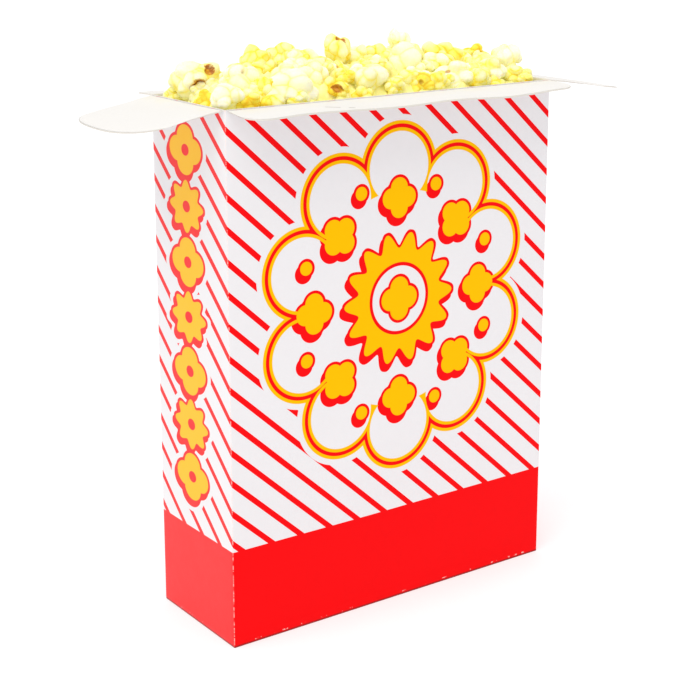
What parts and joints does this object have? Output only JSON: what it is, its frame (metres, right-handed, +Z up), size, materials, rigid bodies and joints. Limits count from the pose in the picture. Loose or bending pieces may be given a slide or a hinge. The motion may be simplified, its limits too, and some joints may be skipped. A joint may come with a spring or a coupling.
{
  "type": "filled popcorn box",
  "caption": "Tall flat-sided paperboard box with striped print, its mouth flaps folded out, heaped with buttered popcorn.",
  "frame": {"origin": "middle of the box's flat base", "axes": "+Z up; +X to the right along the wide front panel; the front panel faces -Y"},
  "size_m": [0.2746, 0.1006, 0.2572],
  "materials": {
    "printed_board": "satin",
    "bare_board": "matte",
    "popped_corn": "matte"
  },
  "bodies": {
    "box": {"carton": "printed_board", "popcorn": "popped_corn"},
    "left_flap": {"flap_left": "bare_board"},
    "right_flap": {"flap_right": "bare_board"},
    "front_flap": {"flap_front": "bare_board"},
    "back_flap": {"flap_back": "bare_board"}
  },
  "joints": [
    {"name": "left_crease", "type": "hinge", "parent": "box", "child": "left_flap", "pos_m": [-0.0876, 0, 0.2317], "axis": [0, 1, 0], "range_deg": [-72, 90]},
    {"name": "right_crease", "type": "hinge", "parent": "box", "child": "right_flap", "pos_m": [0.0876, 0, 0.2317], "axis": [0, -1, 0], "range_deg": [-72, 90]},
    {"name": "front_crease", "type": "hinge", "parent": "box", "child": "front_flap", "pos_m": [0, -0.0306, 0.2317], "axis": [-1, 0, 0], "range_deg": [-75, 89]},
    {"name": "back_crease", "type": "hinge", "parent": "box", "child": "back_flap", "pos_m": [0, 0.0306, 0.2317], "axis": [1, 0, 0], "range_deg": [-75, 89]}
  ]
}
